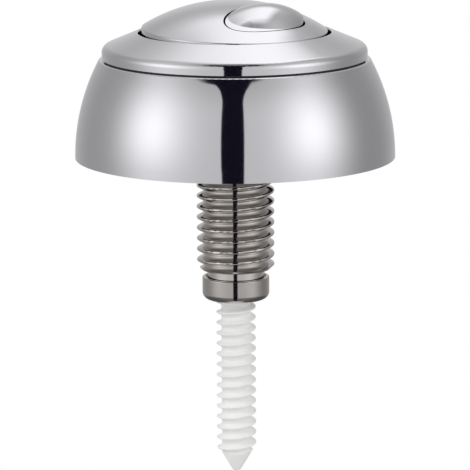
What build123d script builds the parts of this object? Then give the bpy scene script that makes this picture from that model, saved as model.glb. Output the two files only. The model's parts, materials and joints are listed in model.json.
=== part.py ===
from build123d import *
import os
from math import asin, cos, degrees, radians, sqrt, tan

# Dual flush push button for a cistern lid. The hood rests on the lid at z = 0, the hollow
# stem goes down through the lid, and a rod inside the stem pushes the flush valve.
# The oval part flush button lies on the -Y side of the dome. Millimetres, +Z up.

# Hood: a shell whose side is one arc, about upright at the lid
HOOD_DIAMETER = 74.0
HOOD_HEIGHT = 22.7
HOOD_ARC_RADIUS = 47.7
HOOD_WALL = 1.8
HOOD_TOP_ROUND = 0.5
REBATE_RIM = 1.2
REBATE_DEPTH = 1.0
LEDGE_THICKNESS = 1.6

# Fits between pieces
PRESS_CLEARANCE = 0.05
SEAT_CLEARANCE = 0.1
RUN_CLEARANCE = 0.3
STOP_CLEARANCE = 0.3
SHADOW_GAP = 0.4

# Bezel ring round the buttons
BEZEL_INSET = 0.65
BEZEL_WIDTH = 8.4
BEZEL_RIM_HEIGHT = 2.5
BEZEL_SLOPE = 22.8
BEZEL_WALL = 1.6
BEZEL_RIM_ROUND = 1.8
BEZEL_EDGE_ROUND = 0.35
BEZEL_SLEEVE_DEPTH = 3.6
BEZEL_SLEEVE_WALL = 1.0
BARB_COUNT = 4
BARB_WIDTH = 5.0
BARB_HEIGHT = 1.4
BARB_CATCH = 0.8

# Full flush button: a spherical cap on a skirt, a little lower on the oval's side
BUTTON_DIAMETER = 42.8
BUTTON_GAP = 0.8
BUTTON_EDGE_RISE = 0.55
BUTTON_EDGE_ROUND = 0.3
BUTTON_WALL = 1.6
DOME_RADIUS = 39.6
DOME_LEAN = 1.3
FOOT_CATCH = 0.5
FOOT_THICKNESS = 1.2
FULL_STROKE = 6.0
KEY_WIDTH = 3.0
KEY_DEPTH = 1.0

# Part flush button: an oval in a pocket of the dome
POCKET_LENGTH = 21.2
POCKET_WIDTH = 12.0
POCKET_MARGIN = 3.55
POCKET_WALL = 1.1
POCKET_SLEEVE_REACH = 1.2
OVAL_GAP = 0.45
OVAL_RIM_DROP = 0.15
OVAL_WALL = 1.2
OVAL_FOOT_CATCH = 0.6
OVAL_FOOT_THICKNESS = 1.0
PART_STROKE = 3.0

# Crown of the oval: a pillow above the dome, a little beside the oval's middle
CROWN_HEIGHT = 2.0
CROWN_HALF_LENGTH = 10.9
CROWN_HALF_WIDTH = 6.3
CROWN_SHIFT = 1.6
CROWN_SETBACK = 0.7

# Pusher below the oval, and the bridge across the dome
PUSHER_PLATE = 1.2
PUSHER_PLUG_HEIGHT = 2.6
LEG_DIAMETER = 5.0
LEG_INSET = 3.5
BRIDGE_THICKNESS = 2.0
BRIDGE_RING_HEIGHT = 1.0
BRIDGE_RING_WALL = 0.6
BRIDGE_SCREW_ANGLES = (30, 90, 150)
BRIDGE_SCREW_INSET = 2.3
BRIDGE_BOSS_DIAMETER = 5.0
BRIDGE_SCREW_REACH = 3.6

# Self-tapping screws
SCREW_DIAMETER = 2.0
SCREW_HEAD_DIAMETER = 3.2
SCREW_HEAD_HEIGHT = 0.8

# Carrier: the stepped cup that hangs in the hood
CUP_WALL = 1.3
CUP_LOWER_STEP = 1.7
FLOOR_UNDERSIDE = 2.2
FLOOR_THICKNESS = 2.0
CARRIER_SCREW_COUNT = 3
CARRIER_SCREW_START = 90
CARRIER_SCREW_LENGTH = 7.0
HOOD_BOSS_DIAMETER = 3.7
HOOD_BOSS_LENGTH = 6.0
GUSSET_THICKNESS = 1.2

# Threaded stem, drawn at the outside of its thread
STEM_DIAMETER = 18.0
STEM_END_DEPTH = 26.5
STEM_CHAMFER = 1.0
STEM_HEAD_FLATS = 21.0
STEM_HEAD_THICKNESS = 2.5
STEM_HEAD_RECESS = 1.0
STEM_SHOULDER_STEP = 0.5
STEM_BORE_END = 1.6
NECK_DIAMETER = 13.2
NECK_LENGTH = 1.8
NECK_GRIP = 1.8

# Circlip under the carrier's floor
CIRCLIP_THICKNESS = 1.2
CIRCLIP_WIDTH = 2.2
CIRCLIP_GRIP = 1.0
CIRCLIP_OPENING = 50
CIRCLIP_LUG_DIAMETER = 3.2
CIRCLIP_LUG_HOLE = 1.3

# Guide collar at the foot of the stem
COLLAR_WALL = 1.2
COLLAR_LENGTH = 5.3
COLLAR_RECESS_DEPTH = 0.5
COLLAR_RECESS_GAP = 0.5
COLLAR_ROUND = 1.6
COLLAR_TOP_ROUND = 0.3

# Plunger and push rod, drawn at the outside of the rod's thread
PLUNGER_DISC_DIAMETER = 24.0
PLUNGER_DISC_THICKNESS = 1.8
PLUNGER_BOSS_DIAMETER = 7.0
PLUNGER_BOSS_HEIGHT = 0.8
PLUNGER_HUB_LENGTH = 20.0
PLUNGER_HUB_WALL = 1.25
ROD_DIAMETER = 9.2
ROD_GRIP = 15.0
ROD_TIP_DEPTH = 75.0
ROD_TIP_LENGTH = 4.75
ROD_TIP_DIAMETER = 1.7
ROD_CORE_DIAMETER = 7.2

# Springs
FULL_SPRING_DIAMETER = 29.2
FULL_SPRING_WIRE = 1.2
FULL_SPRING_TURNS = 4.5
PLUNGER_SPRING_WIRE = 0.9
PLUNGER_SPRING_TURNS = 6.5
WIRE_SIDES = 6

# Hood and bezel levels
button_radius = BUTTON_DIAMETER / 2
opening_radius = button_radius + BUTTON_GAP
bezel_radius = opening_radius + BEZEL_WIDTH
hood_top_radius = bezel_radius + BEZEL_INSET
hood_radius = HOOD_DIAMETER / 2
hood_flare = hood_radius - hood_top_radius
hood_chord = sqrt(hood_flare**2 + HOOD_HEIGHT**2)
hood_arc_depth = sqrt(HOOD_ARC_RADIUS**2 - (hood_chord / 2) ** 2)
hood_arc_centre = (
    (hood_radius + hood_top_radius) / 2 - hood_arc_depth * HOOD_HEIGHT / hood_chord,
    HOOD_HEIGHT / 2 - hood_arc_depth * hood_flare / hood_chord,
)
rebate_radius = hood_top_radius - REBATE_RIM
rebate_level = HOOD_HEIGHT - REBATE_DEPTH
ledge_underside = rebate_level - LEDGE_THICKNESS
bezel_bottom = HOOD_HEIGHT + SHADOW_GAP
bezel_crease = bezel_bottom + BEZEL_RIM_HEIGHT
bezel_edge = bezel_crease + BEZEL_WIDTH * tan(radians(BEZEL_SLOPE))
sleeve_radius = opening_radius + BEZEL_SLEEVE_WALL
sleeve_bottom = bezel_bottom - BEZEL_SLEEVE_DEPTH

# Full button levels
button_edge = bezel_edge + BUTTON_EDGE_RISE
dome_centre = button_edge - sqrt(DOME_RADIUS**2 - button_radius**2 - DOME_LEAN**2)
dome_top = dome_centre + DOME_RADIUS
skirt_inner = button_radius - BUTTON_WALL
foot_radius = sleeve_radius + FOOT_CATCH
foot_top = sleeve_bottom - STOP_CLEARANCE
foot_bottom = foot_top - FOOT_THICKNESS

# Carrier levels
cup_inner = foot_radius + RUN_CLEARANCE
cup_outer = cup_inner + CUP_WALL
cup_step = foot_bottom - FULL_STROKE - STOP_CLEARANCE
lower_inner = cup_inner - CUP_LOWER_STEP
lower_outer = lower_inner + CUP_WALL
floor_top = FLOOR_UNDERSIDE + FLOOR_THICKNESS
flange_radius = rebate_radius - SEAT_CLEARANCE
ledge_inner = cup_outer + RUN_CLEARANCE
carrier_screw_offset = (ledge_inner + rebate_radius) / 2

# Oval button, pusher and bridge levels
pocket_half_length = POCKET_LENGTH / 2
pocket_half_width = POCKET_WIDTH / 2
pocket_offset = button_radius - POCKET_MARGIN - pocket_half_width
crown_offset = pocket_offset - CROWN_SETBACK
crown_lean = asin((crown_offset + DOME_LEAN) / DOME_RADIUS)
dome_under_crown = dome_centre + DOME_RADIUS * cos(crown_lean)
sleeve_far_point = pocket_offset + pocket_half_width + POCKET_WALL
dome_inner_radius = DOME_RADIUS - BUTTON_WALL
pocket_sleeve_bottom = (
    dome_centre + sqrt(dome_inner_radius**2 - (sleeve_far_point + DOME_LEAN) ** 2) - POCKET_SLEEVE_REACH
)
oval_half_length = pocket_half_length - OVAL_GAP
oval_half_width = pocket_half_width - OVAL_GAP
oval_foot_top = pocket_sleeve_bottom - STOP_CLEARANCE
oval_foot_bottom = oval_foot_top - OVAL_FOOT_THICKNESS
pusher_bottom = oval_foot_bottom - PUSHER_PLATE
bridge_top = pusher_bottom - PART_STROKE - STOP_CLEARANCE
bridge_bottom = bridge_top - BRIDGE_THICKNESS
bridge_screw_offset = skirt_inner - BRIDGE_SCREW_INSET
leg_offset = pocket_offset - LEG_INSET

# Plunger, rod and stem levels
rod_radius = ROD_DIAMETER / 2
hub_bore = rod_radius + PRESS_CLEARANCE
hub_radius = hub_bore + PLUNGER_HUB_WALL
stem_bore = hub_radius + RUN_CLEARANCE
stem_radius = STEM_DIAMETER / 2
stem_shoulder = stem_radius + STEM_SHOULDER_STEP
neck_radius = NECK_DIAMETER / 2
rod_guide = rod_radius + RUN_CLEARANCE
boss_top = bridge_bottom - SEAT_CLEARANCE
disc_top = boss_top - PLUNGER_BOSS_HEIGHT
disc_bottom = disc_top - PLUNGER_DISC_THICKNESS
hub_bottom = disc_bottom - PLUNGER_HUB_LENGTH
head_bottom = floor_top - STEM_HEAD_RECESS
stem_end = -STEM_END_DEPTH
bore_end = stem_end + STEM_BORE_END
groove_bottom = FLOOR_UNDERSIDE - CIRCLIP_THICKNESS - SEAT_CLEARANCE
collar_top = stem_end - NECK_LENGTH
collar_bottom = collar_top - COLLAR_LENGTH
neck_end = collar_top - COLLAR_RECESS_DEPTH - NECK_GRIP


def disc(radius, bottom, top):
    """A round plate on the Z axis."""
    return Pos(0, 0, bottom) * extrude(Circle(radius), amount=top - bottom)


def ring(inner, outer, bottom, top):
    """A tube on the Z axis."""
    return Pos(0, 0, bottom) * extrude(Circle(outer) - Circle(inner), amount=top - bottom)


def oval(half_length, half_width, bottom, top):
    """An upright oval plate at the part flush button's place, long way along X."""
    outline = Ellipse(half_length, half_width)
    return Pos(0, -pocket_offset, bottom) * extrude(outline, amount=top - bottom)


def turned(*edges):
    """A solid of revolution about Z from a closed outline of (radius, height) edges."""
    return revolve(Plane.XZ * make_face(Curve() + list(edges)), Axis.Z)


def outline(*points):
    """The straight edges through the points, as a list."""
    return Polyline(*points).edges()


def arc_edge(centre, radius, start, end):
    """The shorter arc about a centre from start to end, all in (radius, height)."""
    middle = (Vector(*start) + Vector(*end)) / 2 - Vector(*centre)
    return ThreePointArc(start, Vector(*centre) + middle.normalized() * radius, end)


def around(count, start, shape):
    """Copies of a shape spread evenly about Z."""
    return [Rot(0, 0, start + 360 / count * i) * shape for i in range(count)]


def edges_at(shape, radius, height):
    """The circular edges of a shape about Z at one radius and height."""
    return [
        edge
        for edge in shape.edges().filter_by(GeomType.CIRCLE)
        if abs(edge.radius - radius) < 1e-4 and abs(edge.arc_center.Z - height) < 1e-4
    ]


def hood_profile(inset):
    """The hood's side arc, moved inwards by inset, as a radius for each height."""
    centre, level = hood_arc_centre
    return lambda height: centre + sqrt((HOOD_ARC_RADIUS - inset) ** 2 - (height - level) ** 2)


def hood():
    outer = hood_profile(0)
    inner = hood_profile(HOOD_WALL)
    outside = arc_edge(
        hood_arc_centre, HOOD_ARC_RADIUS, (outer(0), 0), (outer(HOOD_HEIGHT), HOOD_HEIGHT)
    )
    inside = arc_edge(
        hood_arc_centre,
        HOOD_ARC_RADIUS - HOOD_WALL,
        (inner(ledge_underside), ledge_underside),
        (inner(0), 0),
    )
    top = outline(
        (outer(HOOD_HEIGHT), HOOD_HEIGHT),
        (rebate_radius, HOOD_HEIGHT),
        (rebate_radius, rebate_level),
        (ledge_inner, rebate_level),
        (ledge_inner, ledge_underside),
        (inner(ledge_underside), ledge_underside),
    )
    seat = Line((inner(0), 0), (outer(0), 0))
    shell = turned(outside, *top, inside, seat)
    shell = fillet(edges_at(shell, hood_top_radius, HOOD_HEIGHT), HOOD_TOP_ROUND)
    return shell + hood_bosses(inner) - screw_pilots()


def hood_bosses(inner):
    """Screw bosses under the ledge, each tied to the side wall by a gusset."""
    bottom = ledge_underside - HOOD_BOSS_LENGTH
    boss = Pos(carrier_screw_offset, 0, 0) * disc(HOOD_BOSS_DIAMETER / 2, bottom, ledge_underside)
    reach = inner(ledge_underside) - carrier_screw_offset + HOOD_WALL / 2
    slope = inner(bottom) - inner(ledge_underside)
    side = make_face(
        Polyline(
            (carrier_screw_offset, bottom),
            (carrier_screw_offset, ledge_underside),
            (carrier_screw_offset + reach, ledge_underside),
            (carrier_screw_offset + reach + slope, bottom),
            close=True,
        )
    )
    gusset = extrude(Plane.XZ * side, amount=GUSSET_THICKNESS / 2, both=True)
    return around(CARRIER_SCREW_COUNT, CARRIER_SCREW_START, boss + gusset)


def screw_pilots():
    """Pilot holes for the carrier's screws, through the ledge and its bosses."""
    pilot = disc(SCREW_DIAMETER / 2 + PRESS_CLEARANCE, ledge_underside - HOOD_BOSS_LENGTH, bezel_bottom)
    placed = Pos(carrier_screw_offset, 0, 0) * pilot
    return around(CARRIER_SCREW_COUNT, CARRIER_SCREW_START, placed)


def bezel_ring():
    slope = tan(radians(BEZEL_SLOPE))
    underside = bezel_crease - BEZEL_WALL / cos(radians(BEZEL_SLOPE))
    land_inner = (flange_radius + ledge_inner) / 2
    body = turned(
        *outline(
            (bezel_radius, bezel_bottom),
            (bezel_radius, bezel_crease),
            (opening_radius, bezel_edge),
            (opening_radius, sleeve_bottom),
            (sleeve_radius, sleeve_bottom),
            (sleeve_radius, underside + (bezel_radius - sleeve_radius) * slope),
            (land_inner, underside + (bezel_radius - land_inner) * slope),
            (land_inner, bezel_bottom),
            (bezel_radius, bezel_bottom),
        )
    )
    body = fillet(edges_at(body, bezel_radius, bezel_crease), BEZEL_RIM_ROUND)
    body = fillet(edges_at(body, opening_radius, bezel_edge), BEZEL_EDGE_ROUND)
    return body + around(BARB_COUNT, 180 / BARB_COUNT, snap_barb())


def snap_barb():
    """A wedge on the bezel's sleeve that snaps into a window of the carrier."""
    root = sleeve_radius - BEZEL_SLEEVE_WALL / 2
    tip = cup_inner + BARB_CATCH
    side = make_face(
        Polyline(
            (root, sleeve_bottom),
            (root, sleeve_bottom + BARB_HEIGHT),
            (tip, sleeve_bottom + BARB_HEIGHT),
            (tip, sleeve_bottom + BARB_HEIGHT / 2),
            (sleeve_radius, sleeve_bottom),
            close=True,
        )
    )
    return extrude(Plane.XZ * side, amount=BARB_WIDTH / 2, both=True)


def carrier():
    body = turned(
        *outline(
            (flange_radius, rebate_level),
            (flange_radius, bezel_bottom),
            (cup_inner, bezel_bottom),
            (cup_inner, cup_step),
            (lower_inner, cup_step),
            (lower_inner, floor_top),
            (stem_shoulder + SEAT_CLEARANCE, floor_top),
            (stem_shoulder + SEAT_CLEARANCE, FLOOR_UNDERSIDE),
            (lower_outer, FLOOR_UNDERSIDE),
            (lower_outer, cup_step - CUP_WALL),
            (cup_outer, cup_step - CUP_WALL),
            (cup_outer, rebate_level),
            (flange_radius, rebate_level),
        )
    )
    recess = hexagon(STEM_HEAD_FLATS + 2 * SEAT_CLEARANCE, head_bottom, floor_top)
    return body - recess - snap_windows() - countersinks() + guide_keys(KEY_WIDTH, cup_step)


def hexagon(flats, bottom, top):
    """An upright hexagonal plate on the Z axis."""
    return Pos(0, 0, bottom) * extrude(
        RegularPolygon(flats / 2, 6, major_radius=False), amount=top - bottom
    )


def snap_windows():
    """Windows in the cup's wall for the bezel's barbs."""
    height = BARB_HEIGHT + 2 * SEAT_CLEARANCE
    window = Pos(cup_inner + CUP_WALL / 2, 0, sleeve_bottom + BARB_HEIGHT / 2) * Box(
        2 * CUP_WALL, BARB_WIDTH + 2 * RUN_CLEARANCE, height
    )
    return around(BARB_COUNT, 180 / BARB_COUNT, window)


def countersunk(tip, face, clearance=0):
    """A countersunk screw with its head at the face, or the hole that it goes through."""
    shank = SCREW_DIAMETER / 2 + clearance
    neck = face - SCREW_HEAD_HEIGHT if tip < face else face + SCREW_HEAD_HEIGHT
    return turned(
        *outline(
            (0, tip),
            (shank, tip),
            (shank, neck),
            (SCREW_HEAD_DIAMETER / 2 + clearance, face),
            (0, face),
            (0, tip),
        )
    )


def countersinks():
    """Countersunk holes in the carrier's flange."""
    hole = countersunk(rebate_level, bezel_bottom, SEAT_CLEARANCE)
    return around(CARRIER_SCREW_COUNT, CARRIER_SCREW_START, Pos(carrier_screw_offset, 0, 0) * hole)


def guide_keys(width, bottom):
    """Two upright keys in the cup's wall that stop the button from turning."""
    height = sleeve_bottom - SEAT_CLEARANCE - bottom
    length = KEY_DEPTH + CUP_WALL / 2
    key = Pos(cup_inner - KEY_DEPTH + length / 2, 0, bottom + height / 2) * Box(length, width, height)
    return around(2, 0, key)


def carrier_screws():
    head_top = bezel_bottom - SEAT_CLEARANCE
    screw = countersunk(head_top - CARRIER_SCREW_LENGTH, head_top)
    return around(CARRIER_SCREW_COUNT, CARRIER_SCREW_START, Pos(carrier_screw_offset, 0, 0) * screw)


def under_dome(radius, drop):
    """The round plug below the dome's outside, lowered by drop, down to the button's foot."""
    return Pos(0, DOME_LEAN, dome_centre) * Sphere(DOME_RADIUS - drop) & disc(radius, foot_bottom, dome_top)


def full_flush_button():
    cap = under_dome(button_radius, 0)
    rim = [edge for edge in cap.edges() if edge.geom_type not in (GeomType.CIRCLE, GeomType.LINE)]
    cap = fillet(rim, BUTTON_EDGE_ROUND)
    shell = cap - under_dome(skirt_inner, BUTTON_WALL)
    shell += ring(skirt_inner, foot_radius, foot_bottom, foot_top)
    inside = under_dome(button_radius, BUTTON_WALL / 2)
    shell += oval(
        pocket_half_length + POCKET_WALL, pocket_half_width + POCKET_WALL, pocket_sleeve_bottom, dome_top
    ) & inside
    boss = disc(BRIDGE_BOSS_DIAMETER / 2, bridge_top, dome_top)
    pilot_radius = SCREW_DIAMETER / 2 + PRESS_CLEARANCE
    pilot = disc(pilot_radius, bridge_top, bridge_top + BRIDGE_SCREW_REACH + SEAT_CLEARANCE)
    for place in bridge_screw_places():
        shell += place * boss & inside
        shell -= place * pilot
    shell -= oval(pocket_half_length, pocket_half_width, bridge_top, dome_top)
    return shell - key_notches()


def key_notches():
    """Notches in the button's foot that run on the carrier's keys."""
    depth = KEY_DEPTH + RUN_CLEARANCE
    notch = Pos(foot_radius, 0, (foot_top + foot_bottom) / 2) * Box(
        2 * depth, KEY_WIDTH + 2 * RUN_CLEARANCE, 2 * FOOT_THICKNESS
    )
    return around(2, 0, notch)


def bridge_screw_places():
    """Where the bridge is screwed to the dome."""
    return [Rot(0, 0, angle) * Pos(bridge_screw_offset, 0, 0) for angle in BRIDGE_SCREW_ANGLES]


def button_bridge():
    plate = disc(skirt_inner - SEAT_CLEARANCE, bridge_bottom, bridge_top)
    ring_outer = (FULL_SPRING_DIAMETER - FULL_SPRING_WIRE) / 2 - SEAT_CLEARANCE
    plate += ring(
        ring_outer - BRIDGE_RING_WALL, ring_outer, bridge_bottom - BRIDGE_RING_HEIGHT, bridge_bottom
    )
    leg_hole = disc(LEG_DIAMETER / 2 + RUN_CLEARANCE, bridge_bottom, bridge_top)
    plate -= Pos(0, -leg_offset, 0) * leg_hole
    for place in bridge_screw_places():
        plate -= place * countersunk(bridge_top, bridge_bottom, SEAT_CLEARANCE)
    return plate


def bridge_screws():
    screw = countersunk(bridge_top + BRIDGE_SCREW_REACH, bridge_bottom + SEAT_CLEARANCE)
    return [place * screw for place in bridge_screw_places()]


def bow(half):
    """Control points, as (place, height), of an arch that meets the dome at half on both sides.

    The arch goes on to twice that place, where a parabola has fallen four times as far.
    """
    fall = 4 * (CROWN_HEIGHT + DOME_RADIUS - sqrt(DOME_RADIUS**2 - half**2))
    return (-2 * half, -fall), (0, fall), (2 * half, -fall)


def crown(inset):
    """The oval button's raised middle, moved inwards by inset: a pillow that leans with the dome."""
    top = CROWN_HEIGHT - inset
    rows = bow(CROWN_HALF_LENGTH)
    columns = bow(CROWN_HALF_WIDTH)
    grid = [[(x, y, top + rise_x + rise_y) for y, rise_y in columns] for x, rise_x in rows]
    pillow = extrude(Face.make_bezier_surface(grid), amount=DOME_RADIUS, dir=(0, 0, -1))
    place = Pos(CROWN_SHIFT, -crown_offset, dome_under_crown) * Rot(degrees(crown_lean), 0, 0)
    room = oval(oval_half_length - inset, oval_half_width - inset, oval_foot_bottom, 2 * dome_top)
    return place * pillow & room


def part_flush_button():
    plate = oval(oval_half_length, oval_half_width, oval_foot_bottom, dome_top)
    rim = plate & under_dome(button_radius, OVAL_RIM_DROP)
    foot_reach = OVAL_GAP + OVAL_FOOT_CATCH
    foot = oval(
        oval_half_length + foot_reach, oval_half_width + foot_reach, oval_foot_bottom, oval_foot_top
    )
    hollow_top = oval_foot_top + PUSHER_PLUG_HEIGHT
    hollow = oval(
        oval_half_length - OVAL_WALL, oval_half_width - OVAL_WALL, oval_foot_bottom, hollow_top
    )
    return rim + foot + crown(0) - hollow - crown(OVAL_WALL)


def part_pusher():
    reach = OVAL_GAP + OVAL_FOOT_CATCH
    plate = oval(oval_half_length + reach, oval_half_width + reach, pusher_bottom, oval_foot_bottom)
    length = oval_half_length - OVAL_WALL - SEAT_CLEARANCE
    width = oval_half_width - OVAL_WALL - SEAT_CLEARANCE
    plug_top = oval_foot_bottom + PUSHER_PLUG_HEIGHT
    plug = oval(length, width, oval_foot_bottom, plug_top)
    plug -= oval(length - OVAL_WALL, width - OVAL_WALL, oval_foot_bottom, plug_top)
    leg = disc(LEG_DIAMETER / 2, disc_top + SEAT_CLEARANCE, pusher_bottom)
    return plate + plug + Pos(0, -leg_offset, 0) * leg


def threaded_stem():
    groove_radius = stem_radius - CIRCLIP_GRIP
    shank = turned(
        *outline(
            (stem_bore, head_bottom),
            (stem_shoulder, head_bottom),
            (stem_shoulder, FLOOR_UNDERSIDE),
            (groove_radius, FLOOR_UNDERSIDE),
            (groove_radius, groove_bottom),
            (stem_radius, groove_bottom),
            (stem_radius, stem_end + STEM_CHAMFER),
            (stem_radius - STEM_CHAMFER, stem_end),
            (neck_radius, stem_end),
            (neck_radius, neck_end),
            (rod_guide, neck_end),
            (rod_guide, bore_end),
            (stem_bore, bore_end),
            (stem_bore, head_bottom),
        )
    )
    head_top = head_bottom + STEM_HEAD_THICKNESS
    head = hexagon(STEM_HEAD_FLATS, head_bottom, head_top) - disc(stem_bore, head_bottom, head_top)
    return shank + head


def stem_circlip():
    """A round spring clip with two holed lugs, in the stem's groove."""
    bottom = groove_bottom + SEAT_CLEARANCE / 2
    top = bottom + CIRCLIP_THICKNESS
    inner = stem_radius - CIRCLIP_GRIP + SEAT_CLEARANCE
    outer = inner + CIRCLIP_WIDTH
    reach = 2 * outer
    half_opening = radians(CIRCLIP_OPENING / 2)
    gap = make_face(
        Polyline((0, 0), (reach, -reach * tan(half_opening)), (reach, reach * tan(half_opening)), close=True)
    )
    clip = ring(inner, outer, bottom, top) - Pos(0, 0, bottom) * extrude(gap, amount=CIRCLIP_THICKNESS)
    lug_place = Pos(inner + CIRCLIP_WIDTH / 2 + CIRCLIP_LUG_HOLE / 2, 0, 0)
    for angle in (-CIRCLIP_OPENING / 2, CIRCLIP_OPENING / 2):
        lug = ring(CIRCLIP_LUG_HOLE / 2, CIRCLIP_LUG_DIAMETER / 2, bottom, top)
        hole = disc(CIRCLIP_LUG_HOLE / 2, bottom, top)
        clip = clip + Rot(0, 0, angle) * lug_place * lug - Rot(0, 0, angle) * lug_place * hole
    return clip


def guide_collar():
    collar_radius = neck_radius + COLLAR_WALL
    recess = neck_radius + COLLAR_RECESS_GAP
    body = turned(
        *outline(
            (collar_radius, collar_bottom),
            (collar_radius, collar_top),
            (recess, collar_top),
            (recess, collar_top - COLLAR_RECESS_DEPTH),
            (neck_radius + PRESS_CLEARANCE, collar_top - COLLAR_RECESS_DEPTH),
            (neck_radius + PRESS_CLEARANCE, neck_end),
            (rod_guide, neck_end),
            (rod_guide, collar_bottom),
            (collar_radius, collar_bottom),
        )
    )
    body = fillet(edges_at(body, collar_radius, collar_bottom), COLLAR_ROUND)
    return fillet(edges_at(body, collar_radius, collar_top), COLLAR_TOP_ROUND)


def plunger():
    bore_top = hub_bottom + ROD_GRIP
    return turned(
        *outline(
            (0, boss_top),
            (PLUNGER_BOSS_DIAMETER / 2, boss_top),
            (PLUNGER_BOSS_DIAMETER / 2, disc_top),
            (PLUNGER_DISC_DIAMETER / 2, disc_top),
            (PLUNGER_DISC_DIAMETER / 2, disc_bottom),
            (hub_radius, disc_bottom),
            (hub_radius, hub_bottom),
            (hub_bore, hub_bottom),
            (hub_bore, bore_top),
            (0, bore_top),
            (0, boss_top),
        )
    )


def push_rod():
    core = ROD_CORE_DIAMETER / 2
    tip = -ROD_TIP_DEPTH
    cone = tip + ROD_TIP_LENGTH
    top = hub_bottom + ROD_GRIP - SEAT_CLEARANCE
    return turned(
        *outline(
            (0, top),
            (core, top),
            (rod_radius, top - (rod_radius - core)),
            (rod_radius, cone + (rod_radius - core)),
            (core, cone),
            (ROD_TIP_DIAMETER / 2, tip),
            (0, tip),
            (0, top),
        )
    )


def coil_spring(mean_diameter, wire, turns, bottom, top):
    """An open coil spring that just reaches from one seat to the other."""
    height = top - bottom - wire
    path = Helix(height / turns, height, mean_diameter / 2, center=(0, 0, bottom + wire / 2))
    section = Plane(path @ 0, z_dir=path % 0) * RegularPolygon(wire / 2, WIRE_SIDES)
    return sweep(section, path, is_frenet=True)


def full_return_spring():
    return coil_spring(
        FULL_SPRING_DIAMETER, FULL_SPRING_WIRE, FULL_SPRING_TURNS, floor_top, bridge_bottom
    )


def plunger_spring():
    mean_diameter = hub_bore + hub_radius
    return coil_spring(mean_diameter, PLUNGER_SPRING_WIRE, PLUNGER_SPRING_TURNS, bore_end, hub_bottom)


PIECES = (
    hood,
    bezel_ring,
    carrier,
    carrier_screws,
    threaded_stem,
    stem_circlip,
    guide_collar,
    full_return_spring,
    plunger_spring,
    full_flush_button,
    button_bridge,
    bridge_screws,
    part_flush_button,
    part_pusher,
    plunger,
    push_rod,
)

os.makedirs("parts", exist_ok=True)
for piece in PIECES:
    shape = piece()
    if isinstance(shape, list):
        shape = Compound(children=[solid for item in shape for solid in item.solids()])
    export_step(shape, f"parts/{piece.__name__}.step")
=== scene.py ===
import json
from math import cos, pi, radians, sin, tau

import bpy
from mathutils import Matrix, Vector


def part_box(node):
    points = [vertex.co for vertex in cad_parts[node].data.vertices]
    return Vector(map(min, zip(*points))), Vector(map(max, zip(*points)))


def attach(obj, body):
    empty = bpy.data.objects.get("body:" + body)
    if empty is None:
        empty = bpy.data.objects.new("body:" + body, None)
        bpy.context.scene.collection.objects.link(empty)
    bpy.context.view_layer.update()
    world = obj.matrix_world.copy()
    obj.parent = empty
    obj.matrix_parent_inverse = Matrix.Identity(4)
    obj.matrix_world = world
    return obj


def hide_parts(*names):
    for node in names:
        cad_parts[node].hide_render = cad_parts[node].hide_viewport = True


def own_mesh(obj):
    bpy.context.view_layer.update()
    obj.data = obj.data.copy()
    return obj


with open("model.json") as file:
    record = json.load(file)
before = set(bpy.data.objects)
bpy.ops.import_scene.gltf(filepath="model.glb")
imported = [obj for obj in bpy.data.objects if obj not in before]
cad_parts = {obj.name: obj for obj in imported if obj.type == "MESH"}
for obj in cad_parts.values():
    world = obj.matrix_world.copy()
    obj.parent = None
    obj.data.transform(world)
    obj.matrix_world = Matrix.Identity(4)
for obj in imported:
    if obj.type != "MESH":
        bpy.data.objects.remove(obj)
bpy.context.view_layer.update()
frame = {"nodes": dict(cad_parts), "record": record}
nodes = frame["nodes"]

MM = 0.001
WELD = 0.002 * MM


# Shader sockets and graphs

# Sockets of a Mix node that mixes colours
MIX_FACTOR, MIX_LOW, MIX_HIGH, MIX_RESULT = 0, 6, 7, 2


class Wire:
    """A shader socket that can be used in sums: each operation adds its Math node."""

    def __init__(self, graph, socket):
        self.graph = graph
        self.socket = socket

    def math(self, operation, *values):
        inputs = dict(enumerate((self, *values)))
        return self.graph.add("ShaderNodeMath", {"operation": operation}, inputs)

    def __add__(self, other):
        return self.math("ADD", other)

    def __sub__(self, other):
        return self.math("SUBTRACT", other)

    def __rsub__(self, other):
        return self.graph.add("ShaderNodeMath", {"operation": "SUBTRACT"}, {0: other, 1: self})

    def __mul__(self, other):
        return self.math("MULTIPLY", other)

    def __truediv__(self, other):
        return self.math("DIVIDE", other)

    __radd__ = __add__
    __rmul__ = __mul__

    def most(self, other):
        """The greater of two values."""
        return self.math("MAXIMUM", other)

    def step(self, low, high):
        """A smooth rise from 0 at low to 1 at high."""
        settings = {"interpolation_type": "SMOOTHSTEP"}
        inputs = {"Value": self, "From Min": low, "From Max": high}
        return self.graph.add("ShaderNodeMapRange", settings, inputs)

    def bell(self, middle, width):
        """A smooth hump of height 1 round the middle."""
        away = (self - middle) / width
        return (away * away * -1).math("EXPONENT")


class Graph:
    """The node tree of a material or of the world."""

    def __init__(self, tree):
        self.tree = tree

    def add(self, kind, settings=None, inputs=None, output=0):
        """Adds a node, sets it up, joins its inputs and returns an output, if it has one."""
        node = self.tree.nodes.new(kind)
        for name, value in (settings or {}).items():
            setattr(node, name, value)
        for name, value in (inputs or {}).items():
            if isinstance(value, Wire):
                self.tree.links.new(value.socket, node.inputs[name])
            else:
                node.inputs[name].default_value = value
        return Wire(self, node.outputs[output]) if node.outputs else None

    def blend(self, factor, low, high):
        """A colour between two colours."""
        inputs = {MIX_FACTOR: factor, MIX_LOW: opaque(low), MIX_HIGH: opaque(high)}
        return self.add("ShaderNodeMix", {"data_type": "RGBA"}, inputs, output=MIX_RESULT)


def opaque(colour):
    """A plain colour with full alpha. A colour that nodes make stays as it is."""
    return colour if isinstance(colour, Wire) else (*colour, 1.0)


# Finishes


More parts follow.
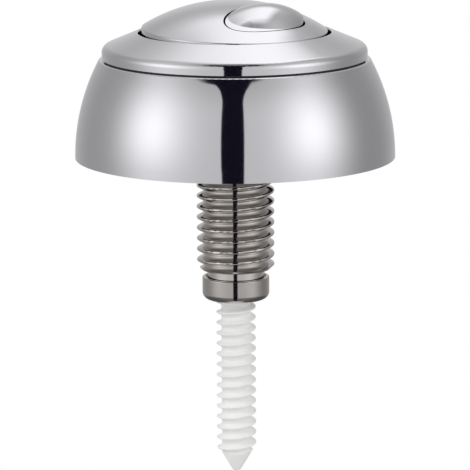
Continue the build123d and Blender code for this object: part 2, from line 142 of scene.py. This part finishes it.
def finish_graph(name):
    """A new material with an empty graph, and its Object coordinates."""
    material = bpy.data.materials.new(name)
    material.use_nodes = True
    graph = Graph(material.node_tree)
    material.node_tree.nodes.clear()
    place = graph.add("ShaderNodeTexCoord", output="Object")
    return material, graph, place


def close_graph(graph, inputs):
    """Ends a graph in a Principled surface with the given inputs."""
    surface = graph.add("ShaderNodeBsdfPrincipled", None, inputs)
    graph.add("ShaderNodeOutputMaterial", None, {"Surface": surface})


def noise(graph, place, scale, detail=2.0, roughness=0.5):
    inputs = {"Vector": place, "Scale": scale, "Detail": detail, "Roughness": roughness}
    return graph.add("ShaderNodeTexNoise", None, inputs)


def bump(graph, height, strength, distance):
    """A bumped normal. The distance is in millimetres."""
    inputs = {"Height": height, "Strength": strength, "Distance": distance * MM}
    return graph.add("ShaderNodeBump", None, inputs)


def chrome_plate():
    """Bright plating on moulded plastic: a mirror with a trace of ripple and haze."""
    material, graph, place = finish_graph("chrome_plate")
    haze = noise(graph, place, scale=45.0, detail=3.0)
    ripple = noise(graph, place, scale=260.0, detail=1.0)
    specks = noise(graph, place, scale=2600.0)
    close_graph(
        graph,
        {
            "Base Color": graph.blend(haze, (0.77, 0.775, 0.795), (0.81, 0.815, 0.83)),
            "Metallic": 1.0,
            "Roughness": 0.03 + haze * 0.025 + specks * 0.01,
            "Normal": bump(graph, ripple, strength=0.25, distance=0.004),
        },
    )
    return material


PLATING_EDGE = 0.02 * MM
TURNING_SCALE = (60.0, 60.0, 9000.0)


def nickel_plate():
    """Nickel on turned brass, with fine turning marks round the axis, duller on the collar."""
    material, graph, place = finish_graph("nickel_plate")
    collar_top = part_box("guide_collar")[1].z
    height = graph.add("ShaderNodeSeparateXYZ", None, {"Vector": place}, output="Z")
    on_stem = height.step(collar_top - PLATING_EDGE, collar_top + PLATING_EDGE)
    rings = graph.add("ShaderNodeMapping", None, {"Vector": place, "Scale": TURNING_SCALE})
    turning = noise(graph, rings, scale=1.0)
    patches = noise(graph, place, scale=180.0, detail=4.0, roughness=0.6)
    dull = graph.blend(patches, (0.50, 0.475, 0.445), (0.62, 0.595, 0.565))
    bright = graph.blend(patches, (0.63, 0.60, 0.57), (0.78, 0.75, 0.72))
    close_graph(
        graph,
        {
            "Base Color": graph.blend(on_stem, dull, bright),
            "Metallic": 1.0,
            "Roughness": 0.04 + patches * 0.05 + turning * 0.03,
            "Normal": bump(graph, turning, strength=0.25, distance=0.008),
        },
    )
    return material


def plastic(name, low, high, roughness, grain):
    """Moulded plastic with a fine grain and faint flow marks."""
    material, graph, place = finish_graph(name)
    flow = noise(graph, place, scale=70.0, detail=3.0, roughness=0.6)
    fine = noise(graph, place, scale=1500.0)
    close_graph(
        graph,
        {
            "Base Color": graph.blend(flow, low, high),
            "Roughness": roughness + fine * 0.1 + flow * 0.06,
            "Normal": bump(graph, fine, strength=0.3, distance=grain),
        },
    )
    return material


def spring_steel():
    """Drawn wire and plated screws: grey, with drawing marks."""
    material, graph, place = finish_graph("spring_steel")
    marks = noise(graph, place, scale=900.0, detail=3.0)
    close_graph(
        graph,
        {
            "Base Color": graph.blend(marks, (0.46, 0.46, 0.47), (0.60, 0.60, 0.61)),
            "Metallic": 1.0,
            "Roughness": 0.24 + marks * 0.14,
            "Normal": bump(graph, marks, strength=0.2, distance=0.01),
        },
    )
    return material


FINISHES = {
    "chrome_plate": chrome_plate(),
    "nickel_plate": nickel_plate(),
    # The carrier's black is its own colour, and where its flange shows in the thin gap between
    # hood and bezel it also stands in as painted shade.
    "black_plastic": plastic(
        "black_plastic",
        low=(0.018, 0.018, 0.02),
        high=(0.034, 0.034, 0.037),
        roughness=0.42,
        grain=0.03,
    ),
    "white_acetal": plastic(
        "white_acetal",
        low=(0.80, 0.80, 0.78),
        high=(0.85, 0.85, 0.83),
        roughness=0.34,
        grain=0.02,
    ),
    "white_nylon": plastic(
        "white_nylon",
        low=(0.80, 0.80, 0.79),
        high=(0.86, 0.86, 0.85),
        roughness=0.38,
        grain=0.03,
    ),
    "spring_steel": spring_steel(),
}


def dress(piece, slot):
    """Gives a piece the finish of its slot alone."""
    piece.data.materials.clear()
    piece.data.materials.append(FINISHES[slot])


for subpart in frame["record"]["subparts"]:
    dress(nodes[subpart["node"]], subpart["material_slot"])


# Bench work: how the pieces modelled here are drawn, turned, wound and cut


def close_seams():
    """In edit mode: merges what lies in one place."""
    bpy.ops.mesh.select_all(action="SELECT")
    bpy.ops.mesh.remove_doubles(threshold=WELD)


def turn_outwards():
    """In edit mode: makes all faces point outwards."""
    bpy.ops.mesh.select_all(action="SELECT")
    bpy.ops.mesh.normals_make_consistent(inside=False)


def select_alone(piece):
    bpy.ops.object.select_all(action="DESELECT")
    bpy.context.view_layer.objects.active = piece
    piece.select_set(True)


def draw_outline(name, points):
    """An outline through (radius, height) points in millimetres, at y = 0, left in edit mode."""
    bpy.ops.object.select_all(action="DESELECT")
    start = Vector((points[0][0], 0, points[0][1])) * MM
    bpy.ops.mesh.primitive_plane_add(size=MM, location=start)
    piece = bpy.context.object
    piece.name = name
    piece.data.name = name
    bpy.ops.object.transform_apply(location=True)
    bpy.ops.object.mode_set(mode="EDIT")
    bpy.ops.mesh.select_mode(type="VERT")
    bpy.ops.mesh.select_all(action="SELECT")
    bpy.ops.mesh.merge(type="CENTER")
    place = points[0]
    for point in points[1:]:
        step = Vector((point[0] - place[0], 0, point[1] - place[1])) * MM
        bpy.ops.mesh.extrude_region_move(TRANSFORM_OT_translate={"value": step})
        place = point
    close_seams()
    return piece


def turn_on_lathe(name, points, steps):
    """A solid spun about Z from an outline that starts and ends on the axis."""
    piece = draw_outline(name, points)
    bpy.ops.mesh.spin(steps=steps, angle=2 * pi, center=(0, 0, 0), axis=(0, 0, 1))
    close_seams()
    turn_outwards()
    bpy.ops.object.mode_set(mode="OBJECT")
    return piece


def wind(piece, pitch, turns, steps):
    """Winds an outline upwards about Z into a solid right-hand coil, in so many steps a turn."""
    bpy.ops.object.mode_set(mode="OBJECT")
    screw = piece.modifiers.new("wind", "SCREW")
    screw.axis = "Z"
    screw.angle = 2 * pi * turns
    screw.screw_offset = pitch * turns * MM
    screw.steps = screw.render_steps = round(steps * turns)
    screw.use_merge_vertices = False
    bpy.ops.object.modifier_apply(modifier=screw.name)
    bpy.ops.object.mode_set(mode="EDIT")
    bpy.ops.mesh.select_all(action="DESELECT")
    bpy.ops.mesh.select_non_manifold()
    bpy.ops.mesh.fill_holes(sides=0)
    turn_outwards()
    bpy.ops.object.mode_set(mode="OBJECT")
    return piece


def join_solids(piece, other, operation):
    """Adds or cuts away another solid, which is then gone."""
    select_alone(piece)
    cut = piece.modifiers.new("join", "BOOLEAN")
    cut.operation = operation
    cut.solver = "EXACT"
    cut.object = other
    bpy.ops.object.modifier_apply(modifier=cut.name)
    bpy.data.objects.remove(other)


def groove(crest, root, half_widths, centre):
    """The outline of a thread groove: half widths from the root out to past the crest."""
    depths = [root + (crest - root) * share for share, _ in half_widths]
    widths = [width for _, width in half_widths]
    upper = [(depth, centre + width) for depth, width in zip(depths, widths)]
    lower = [(depth, centre - width) for depth, width in zip(depths, widths)]
    return lower[::-1] + upper + lower[-1:]


def clear_slivers():
    """Merges the slivers that cutting leaves along the edges of the active piece."""
    bpy.ops.object.mode_set(mode="EDIT")
    bpy.ops.mesh.select_mode(type="VERT")
    close_seams()
    bpy.ops.mesh.dissolve_degenerate(threshold=WELD)
    bpy.ops.object.mode_set(mode="OBJECT")


def smooth(piece, angle):
    """Shades a piece smooth, apart from edges that are sharper than the angle in degrees."""
    select_alone(piece)
    bpy.ops.object.shade_smooth_by_angle(angle=radians(angle))


def hand_over(piece, body, slot, node):
    """Dresses a finished piece in place of its plain solid."""
    dress(piece, slot)
    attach(piece, body)
    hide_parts(node)


# Stem with its thread, in millimetres

PITCH = 2.5
CUT_PAST = 1.0

STEM_TOP = 5.7
STEM_RADIUS = 9.0
STEM_ROOT_RADIUS = 7.5
STEM_END = -26.5
STEM_BEVEL = 1.0
STEM_FOOT = -30.6
HEAD_SEAT = 3.2
HEAD_FLATS = 21.0
HEAD_BEVEL = 0.25
SPIGOT_RADIUS = 9.5
SPIGOT_END = 2.2
CLIP_GROOVE_RADIUS = 8.0
CLIP_GROOVE_END = 0.9
NECK_RADIUS = 6.6
NECK_BEVEL = 0.3
BORE_RADIUS = 6.2
BORE_END = -24.9
GUIDE_RADIUS = 4.9

# The thread groove: where it starts, its turns, and shares of its depth with half its width there
STEM_GROOVE_START = -29.03
STEM_GROOVE_TURNS = 12
STEM_FLANKS = [
    (0, 0.1),
    (0.05, 0.2),
    (0.5, 0.56),
    (0.85, 0.86),
    (0.96, 0.98),
    (1.0, 1.08),
    (1.05, 1.2),
    (1.3, 1.2),
]


def stem_blank():
    """The stem before it is bored and threaded, without its head."""
    outline = [
        (0, HEAD_SEAT),
        (SPIGOT_RADIUS, HEAD_SEAT),
        (SPIGOT_RADIUS, SPIGOT_END),
        (CLIP_GROOVE_RADIUS, SPIGOT_END),
        (CLIP_GROOVE_RADIUS, CLIP_GROOVE_END),
        (STEM_RADIUS, CLIP_GROOVE_END),
        (STEM_RADIUS, STEM_END + STEM_BEVEL),
        (STEM_RADIUS - STEM_BEVEL, STEM_END),
        (NECK_RADIUS, STEM_END),
        (NECK_RADIUS, STEM_FOOT + NECK_BEVEL),
        (NECK_RADIUS - NECK_BEVEL, STEM_FOOT),
        (0, STEM_FOOT),
    ]
    return turn_on_lathe("stem_with_thread", outline, steps=128)


def stem_head():
    """The hexagonal head, with flats that face along Y."""
    half_side = radians(30)
    bpy.ops.object.select_all(action="DESELECT")
    bpy.ops.mesh.primitive_cylinder_add(
        vertices=6,
        radius=HEAD_FLATS / 2 / cos(half_side) * MM,
        depth=(STEM_TOP - HEAD_SEAT) * MM,
        location=(0, 0, (STEM_TOP + HEAD_SEAT) / 2 * MM),
        rotation=(0, 0, half_side),
    )
    head = bpy.context.object
    bpy.ops.object.transform_apply(location=True, rotation=True)
    bpy.ops.object.mode_set(mode="EDIT")
    bpy.ops.mesh.select_all(action="SELECT")
    bpy.ops.mesh.bevel(offset=HEAD_BEVEL * MM, segments=2, affect="EDGES")
    bpy.ops.object.mode_set(mode="OBJECT")
    return head


def stem_groove():
    outline = groove(STEM_RADIUS, STEM_ROOT_RADIUS, STEM_FLANKS, STEM_GROOVE_START)
    cutter = draw_outline("thread_groove", outline)
    return wind(cutter, PITCH, STEM_GROOVE_TURNS, steps=64)


def stem_reamer():
    """What is bored out: the spring's bore, and the rod's guide below it."""
    outline = [
        (0, STEM_TOP + CUT_PAST),
        (BORE_RADIUS, STEM_TOP + CUT_PAST),
        (BORE_RADIUS, BORE_END),
        (GUIDE_RADIUS, BORE_END),
        (GUIDE_RADIUS, STEM_FOOT - CUT_PAST),
        (0, STEM_FOOT - CUT_PAST),
    ]
    return turn_on_lathe("stem_reamer", outline, steps=96)


def threaded_stem():
    """The hollow stem: hexagonal head, circlip groove, coarse thread and a plain neck."""
    stem = stem_blank()
    join_solids(stem, stem_head(), "UNION")
    join_solids(stem, stem_groove(), "DIFFERENCE")
    join_solids(stem, stem_reamer(), "DIFFERENCE")
    clear_slivers()
    smooth(stem, angle=32)
    hand_over(stem, "base", "nickel_plate", "threaded_stem")


# Push rod with its thread, in millimetres

ROD_RADIUS = 4.6
ROD_ROOT_RADIUS = 3.4
ROD_END_RADIUS = 3.6
ROD_BEVEL = 1.0
ROD_CONE = 4.75

# The blunt point, as radii with their heights above it
ROD_POINT = [(1.0, 0.3), (0.75, 0.08), (0.45, 0), (0, 0)]

# The thread groove: where it starts, its turns, and shares of its depth with half its width there
ROD_GROOVE_START = -71.65
ROD_GROOVE_TURNS = 34
ROD_FLANKS = [
    (0, 0.36),
    (0.07, 0.54),
    (0.5, 0.79),
    (0.82, 0.96),
    (0.94, 1.05),
    (1.0, 1.13),
    (1.06, 1.21),
    (1.5, 1.21),
]


def threaded_rod():
    """The push rod: a moulded round thread from end to end, and a blunt conical tip."""
    low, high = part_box("push_rod")
    tip, top = low.z / MM, high.z / MM
    cone = tip + ROD_CONE
    outline = [
        (0, top),
        (ROD_END_RADIUS, top),
        (ROD_RADIUS, top - ROD_BEVEL),
        (ROD_RADIUS, cone + ROD_BEVEL),
        (ROD_END_RADIUS, cone),
        *((radius, tip + height) for radius, height in ROD_POINT),
    ]
    rod = turn_on_lathe("rod_with_thread", outline, steps=96)
    outline = groove(ROD_RADIUS, ROD_ROOT_RADIUS, ROD_FLANKS, ROD_GROOVE_START)
    cutter = draw_outline("rod_groove", outline)
    join_solids(rod, wind(cutter, PITCH, ROD_GROOVE_TURNS, steps=48), "DIFFERENCE")
    clear_slivers()
    smooth(rod, angle=40)
    hand_over(rod, "flush_plunger", "white_nylon", "push_rod")


# Springs, in millimetres

WIRE_SIDES = 12
FULL_SPRING = {"mean_radius": 14.6, "wire": 1.2, "turns": 4.5}
HALF_PLUNGER_SPRING = {"mean_radius": 5.275, "wire": 0.9, "turns": 3.25}


def coil(name, bottom, top, mean_radius, wire, turns):
    """A coil of round wire between two heights."""
    thick = wire / 2
    around = [tau * side / WIRE_SIDES for side in range(WIRE_SIDES + 1)]
    ring = [(mean_radius + thick * cos(a), bottom + thick + thick * sin(a)) for a in around]
    piece = draw_outline(name, ring)
    wind(piece, (top - bottom - wire) / turns, turns, steps=48)
    smooth(piece, angle=60)
    return piece


def press_flat(piece):
    """Gives the coil a mesh of its own."""
    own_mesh(piece)


def full_spring():
    low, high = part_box("full_return_spring")
    bottom, top = low.z / MM, high.z / MM
    spring = coil("full_spring_coil", bottom, top, **FULL_SPRING)
    hand_over(spring, "base", "spring_steel", "full_return_spring")
    press_flat(spring)


def plunger_spring():
    """The spring under the plunger, in two lengths because both presses shorten it."""
    low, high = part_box("plunger_spring")
    bottom, top = low.z / MM, high.z / MM
    middle = (bottom + top) / 2
    lower = coil("plunger_spring_lower", bottom, middle, **HALF_PLUNGER_SPRING)
    hand_over(lower, "base", "spring_steel", "plunger_spring")
    press_flat(lower)
    upper = coil("plunger_spring_upper", middle, top, **HALF_PLUNGER_SPRING)
    hand_over(upper, "full_button", "spring_steel", "plunger_spring")
    press_flat(upper)


threaded_stem()
threaded_rod()
full_spring()
plunger_spring()


# Floor and lamps, in metres and degrees

FLOOR_HEIGHT = -1.0
FLOOR_SIZE = 0.4


def outwards(bearing, height):
    """A direction from the object: a bearing round from -Y towards +X, and a height."""
    turn, rise = radians(bearing), radians(height)
    return Vector((sin(turn) * cos(rise), -cos(turn) * cos(rise), sin(rise)))


def floor_finish():
    """A plain pale floor, which is not there from below."""
    material, graph, place = finish_graph("floor")
    mottle = noise(graph, place, scale=30.0)
    pale = graph.blend(mottle, (0.84, 0.84, 0.84), (0.86, 0.86, 0.86))
    paint = graph.add("ShaderNodeBsdfDiffuse", None, {"Color": pale})
    nothing = graph.add("ShaderNodeBsdfTransparent")
    below = graph.add("ShaderNodeNewGeometry", output="Backfacing")
    surface = graph.add("ShaderNodeMixShader", None, {0: below, 1: paint, 2: nothing})
    graph.add("ShaderNodeOutputMaterial", None, {"Surface": surface})
    return material


def floor():
    bpy.ops.object.select_all(action="DESELECT")
    bpy.ops.mesh.primitive_plane_add(size=FLOOR_SIZE, location=(0, 0, FLOOR_HEIGHT))
    plane = bpy.context.object
    plane.name = "floor"
    bpy.ops.object.transform_apply(location=True)
    plane.data.materials.append(floor_finish())


def soft_lamp(name, bearing, height, distance, size, power):
    """A square soft box that faces the object. The plating doesn't mirror it."""
    data = bpy.data.lights.new(name, "AREA")
    data.shape = "SQUARE"
    data.size = size
    data.energy = power
    lamp = bpy.data.objects.new(name, data)
    bpy.context.scene.collection.objects.link(lamp)
    out = outwards(bearing, height)
    lamp.location = out * distance
    lamp.rotation_mode = "QUATERNION"
    lamp.rotation_quaternion = out.to_track_quat("Z", "Y")
    lamp.visible_glossy = False


floor()
soft_lamp("key", bearing=-80, height=40, distance=0.9, size=0.6, power=3.0)
soft_lamp("fill", bearing=15, height=25, distance=1.0, size=0.7, power=1.6)


# Studio: the surroundings that the plating mirrors

CAMERA_AZIMUTH = -35.0
DEGREES = 180 / pi

# Pairs are where a change starts and ends, or the middle and width of a hump. They are degrees
# from the camera's side or from level, and on the ceiling shares of its height overhead.
WALL_LIGHT = 0.6
SIDES = (30, 110)
SIDES_LOSS = 0.24
BACK = (125, 175)
BACK_GAIN = 0.14
RIGHT_DIP = (108, 30)
RIGHT_LOSS = 0.06
FRONT_END = (60, 100)
FRONT_FADE_LOW = (25, 50)
FRONT_FADE_HIGH = (55, 75)
FRONT_LOSS = 0.25
UPPER = (25, 55)
UPPER_SIDES = (40, 80)
UPPER_SIDES_GAIN = 0.2
UPPER_BACK_GAIN = 0.12
FAR_BACK = (160, 180)
FAR_BACK_TOP = (8, 35)
FAR_BACK_GAIN = 0.14
LEFT_LIGHT = (-66, 27)
RIGHT_LIGHT = (61.5, 26)
LIGHT_HEIGHT = (14, 22.8)
LIGHT_GAIN = 0.75
LOWER = (14, 32)
LOWER_LOSS = 0.65

CEILING_LIGHT = 1.2
CEILING_LEFT = (-0.5, 0.2)
CEILING_RIGHT = (0.32, 0.6)
CEILING_FAR = (-1.3, -0.75)
CEILING_NEAR = (-0.12, 0.32)
LEAST_RISE = 0.02

STRIP_BEARING = -1.6
STRIP_HALF_WIDTH = 8.6
STRIP_TAPER = 0.8
STRIP_TAPER_HEIGHTS = (-14, 30)
STRIP_TOP = 43.8
STRIP_CORNER = 11.0
STRIP_EDGE = (-0.6, 0.6)
BAR_END = (24, 50)
BAR_FADE = (48, 104)

STRIP_COLOUR = (0.006, 0.005, 0.012)
LIT_COLOUR = (0.99, 0.982, 1.0)
WHITE = (1, 1, 1)
SEEN_LIGHT = 1.0
PLAIN_LIGHT = 0.8


def along(ray, direction):
    """How far a ray goes in a direction."""
    settings = {"operation": "DOT_PRODUCT"}
    return ray.graph.add("ShaderNodeVectorMath", settings, {0: ray, 1: direction}, output="Value")


def wall_light(bearing, height):
    """Walls that darken to the sides and downwards, with a soft light on either side."""
    aside = bearing.math("ABSOLUTE")
    depth = height * -1
    front = 1 - aside.step(*FRONT_END)
    back = aside.step(*BACK)
    light = WALL_LIGHT - aside.step(*SIDES) * SIDES_LOSS
    light = light + back * BACK_GAIN - bearing.bell(*RIGHT_DIP) * RIGHT_LOSS
    fade = height.step(*FRONT_FADE_LOW) + height.step(*FRONT_FADE_HIGH)
    light = light * (1 - fade * front * FRONT_LOSS)
    above = aside.step(*UPPER_SIDES) * UPPER_SIDES_GAIN + back * UPPER_BACK_GAIN
    light = light + height.step(*UPPER) * above
    light = light + aside.step(*FAR_BACK) * (1 - height.step(*FAR_BACK_TOP)) * FAR_BACK_GAIN
    soft_lights = bearing.bell(*LEFT_LIGHT) + bearing.bell(*RIGHT_LIGHT)
    light = light + soft_lights * height.bell(*LIGHT_HEIGHT) * LIGHT_GAIN
    return light * (1 - depth.step(*LOWER) * LOWER_LOSS)


def on_ceiling_light(to_camera, to_right, upwards):
    """1 on the soft light overhead, 0 beside it."""
    overhead = upwards.most(LEAST_RISE)
    across = to_right / overhead
    ahead = to_camera / overhead
    width = across.step(*CEILING_LEFT) * (1 - across.step(*CEILING_RIGHT))
    return width * ahead.step(*CEILING_FAR) * (1 - ahead.step(*CEILING_NEAR))


def off_dark_strip(bearing, height):
    """0 on the dark strip and on the bar that it flares into, 1 elsewhere."""
    aside = (bearing - STRIP_BEARING).math("ABSOLUTE")
    half_width = STRIP_HALF_WIDTH - (1 - height.step(*STRIP_TAPER_HEIGHTS)) * STRIP_TAPER
    beside = (STRIP_CORNER - (aside - half_width)).most(0)
    below = (STRIP_CORNER - (STRIP_TOP - height)).most(0)
    edge = STRIP_CORNER - (beside * beside + below * below).math("SQRT")
    past_bar = aside.step(*BAR_END).most(height.step(*BAR_FADE))
    return edge.step(*STRIP_EDGE).most(past_bar)


def studio():
    """Plating mirrors the studio, the camera sees white, and all else gets a plain light."""
    world = bpy.data.worlds.new("studio")
    bpy.context.scene.world = world
    world.use_nodes = True
    world.node_tree.nodes.clear()
    graph = Graph(world.node_tree)

    def background(colour, strength):
        inputs = {"Color": opaque(colour), "Strength": strength}
        return graph.add("ShaderNodeBackground", None, inputs)

    def choose(factor, otherwise, chosen):
        return graph.add("ShaderNodeMixShader", None, {0: factor, 1: otherwise, 2: chosen})

    ray = graph.add("ShaderNodeTexCoord", output="Generated")
    turn = radians(CAMERA_AZIMUTH)
    to_camera = along(ray, (sin(turn), -cos(turn), 0))
    to_right = along(ray, (cos(turn), sin(turn), 0))
    upwards = along(ray, (0, 0, 1))
    bearing = to_right.math("ARCTAN2", to_camera) * DEGREES
    height = upwards.math("ARCSINE") * DEGREES

    walls = wall_light(bearing, height)
    light = walls + (CEILING_LIGHT - walls) * on_ceiling_light(to_camera, to_right, upwards)
    lit = off_dark_strip(bearing, height)
    mirrored = background(graph.blend(lit, STRIP_COLOUR, LIT_COLOUR), light * lit + (1 - lit))

    seen = graph.add("ShaderNodeLightPath", output="Is Camera Ray")
    through = graph.add("ShaderNodeLightPath", output="Is Transmission Ray")
    glossy = graph.add("ShaderNodeLightPath", output="Is Glossy Ray")
    unseen = choose(glossy, background(WHITE, PLAIN_LIGHT), mirrored)
    all_rays = choose(seen.most(through), unseen, background(WHITE, SEEN_LIGHT))
    graph.add("ShaderNodeOutputWorld", None, {"Surface": all_rays})


studio()


# Camera at the photograph's view, in metres, degrees and millimetres of lens

CAMERA_ELEVATION = 11.03
CAMERA_DISTANCE = 0.8
CAMERA_ROLL = -0.3
CAMERA_LENS = 263.75
CAMERA_SENSOR = 36.0
CAMERA_RANGE = (0.01, 50.0)
TARGET = Vector((0, 0, -0.01868))
TARGET_LEFT = 0.147 * MM


def camera():
    data = bpy.data.cameras.new("camera")
    data.lens = CAMERA_LENS
    data.sensor_width = CAMERA_SENSOR
    data.clip_start, data.clip_end = CAMERA_RANGE
    view = bpy.data.objects.new("camera", data)
    bpy.context.scene.collection.objects.link(view)
    back = outwards(CAMERA_AZIMUTH, CAMERA_ELEVATION)
    turn = radians(CAMERA_AZIMUTH)
    right = Vector((cos(turn), sin(turn), 0))
    view.location = TARGET - right * TARGET_LEFT + back * CAMERA_DISTANCE
    view.rotation_mode = "QUATERNION"
    facing = (-back).to_track_quat("-Z", "Y")
    roll = Matrix.Rotation(radians(CAMERA_ROLL), 4, "Z").to_quaternion()
    view.rotation_quaternion = facing @ roll
    bpy.context.scene.camera = view


camera()
bpy.context.scene.view_settings.view_transform = "Standard"
